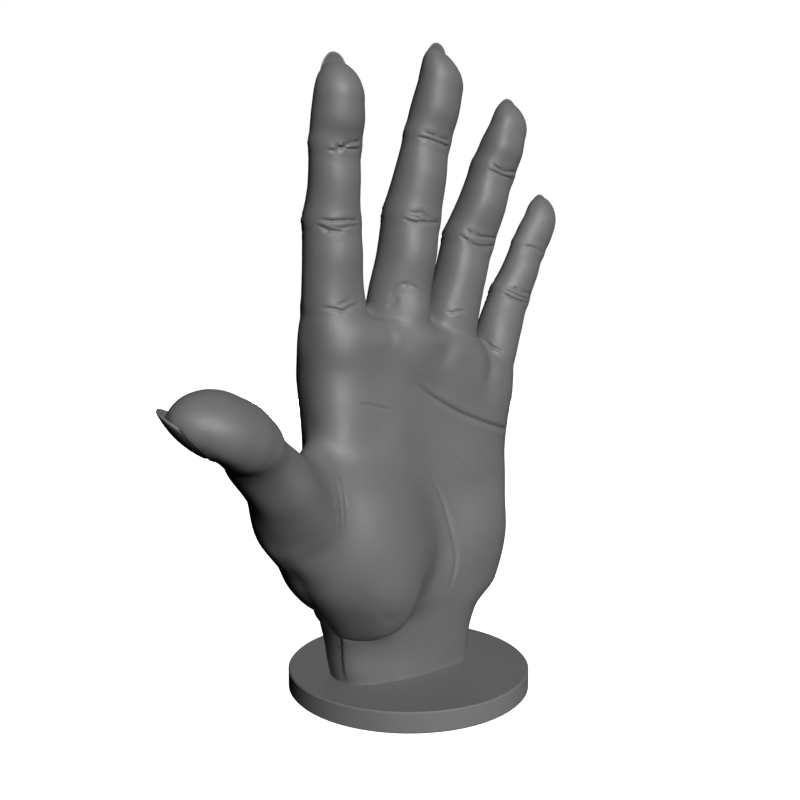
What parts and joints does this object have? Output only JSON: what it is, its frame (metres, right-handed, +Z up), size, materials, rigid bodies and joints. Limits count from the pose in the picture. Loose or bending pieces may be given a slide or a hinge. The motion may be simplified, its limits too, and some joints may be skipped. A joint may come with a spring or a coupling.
{
  "type": "hand mannequin",
  "caption": "Life-size open left hand with slim fingers and long nails, standing upright on a round base disc and turning on it, for showing rings, bracelets or gloves.",
  "frame": {"origin": "on the base disc's axis, on the surface that the felt pad stands on", "axes": "+Z up the wrist towards the fingertips, -Y the way the palm faces, -X towards the thumb side"},
  "size_m": [0.1573, 0.0852, 0.2083],
  "materials": {
    "hand_shell": "satin",
    "nails": "satin",
    "wrist_plug": "raw",
    "threaded_insert": "machined",
    "glide_washer": "satin",
    "steel": "zinc plated",
    "base_disc": "satin",
    "felt_pad": "felt"
  },
  "bodies": {
    "base": {"base_disc": "base_disc", "felt_pad": "felt_pad", "spring_washer": "steel"},
    "hand": {"hand_shell": "hand_shell", "thumb_nail": "nails", "index_nail": "nails", "middle_nail": "nails", "ring_nail": "nails", "little_nail": "nails", "wrist_plug": "wrist_plug", "threaded_insert": "threaded_insert", "glide_washer": "glide_washer", "pivot_screw": "steel"}
  },
  "joints": [
    {"name": "hand_turn", "type": "hinge", "parent": "base", "child": "hand", "pos_m": [0, 0, 0.007], "axis": [0, 0, 1], "continuous": true}
  ]
}
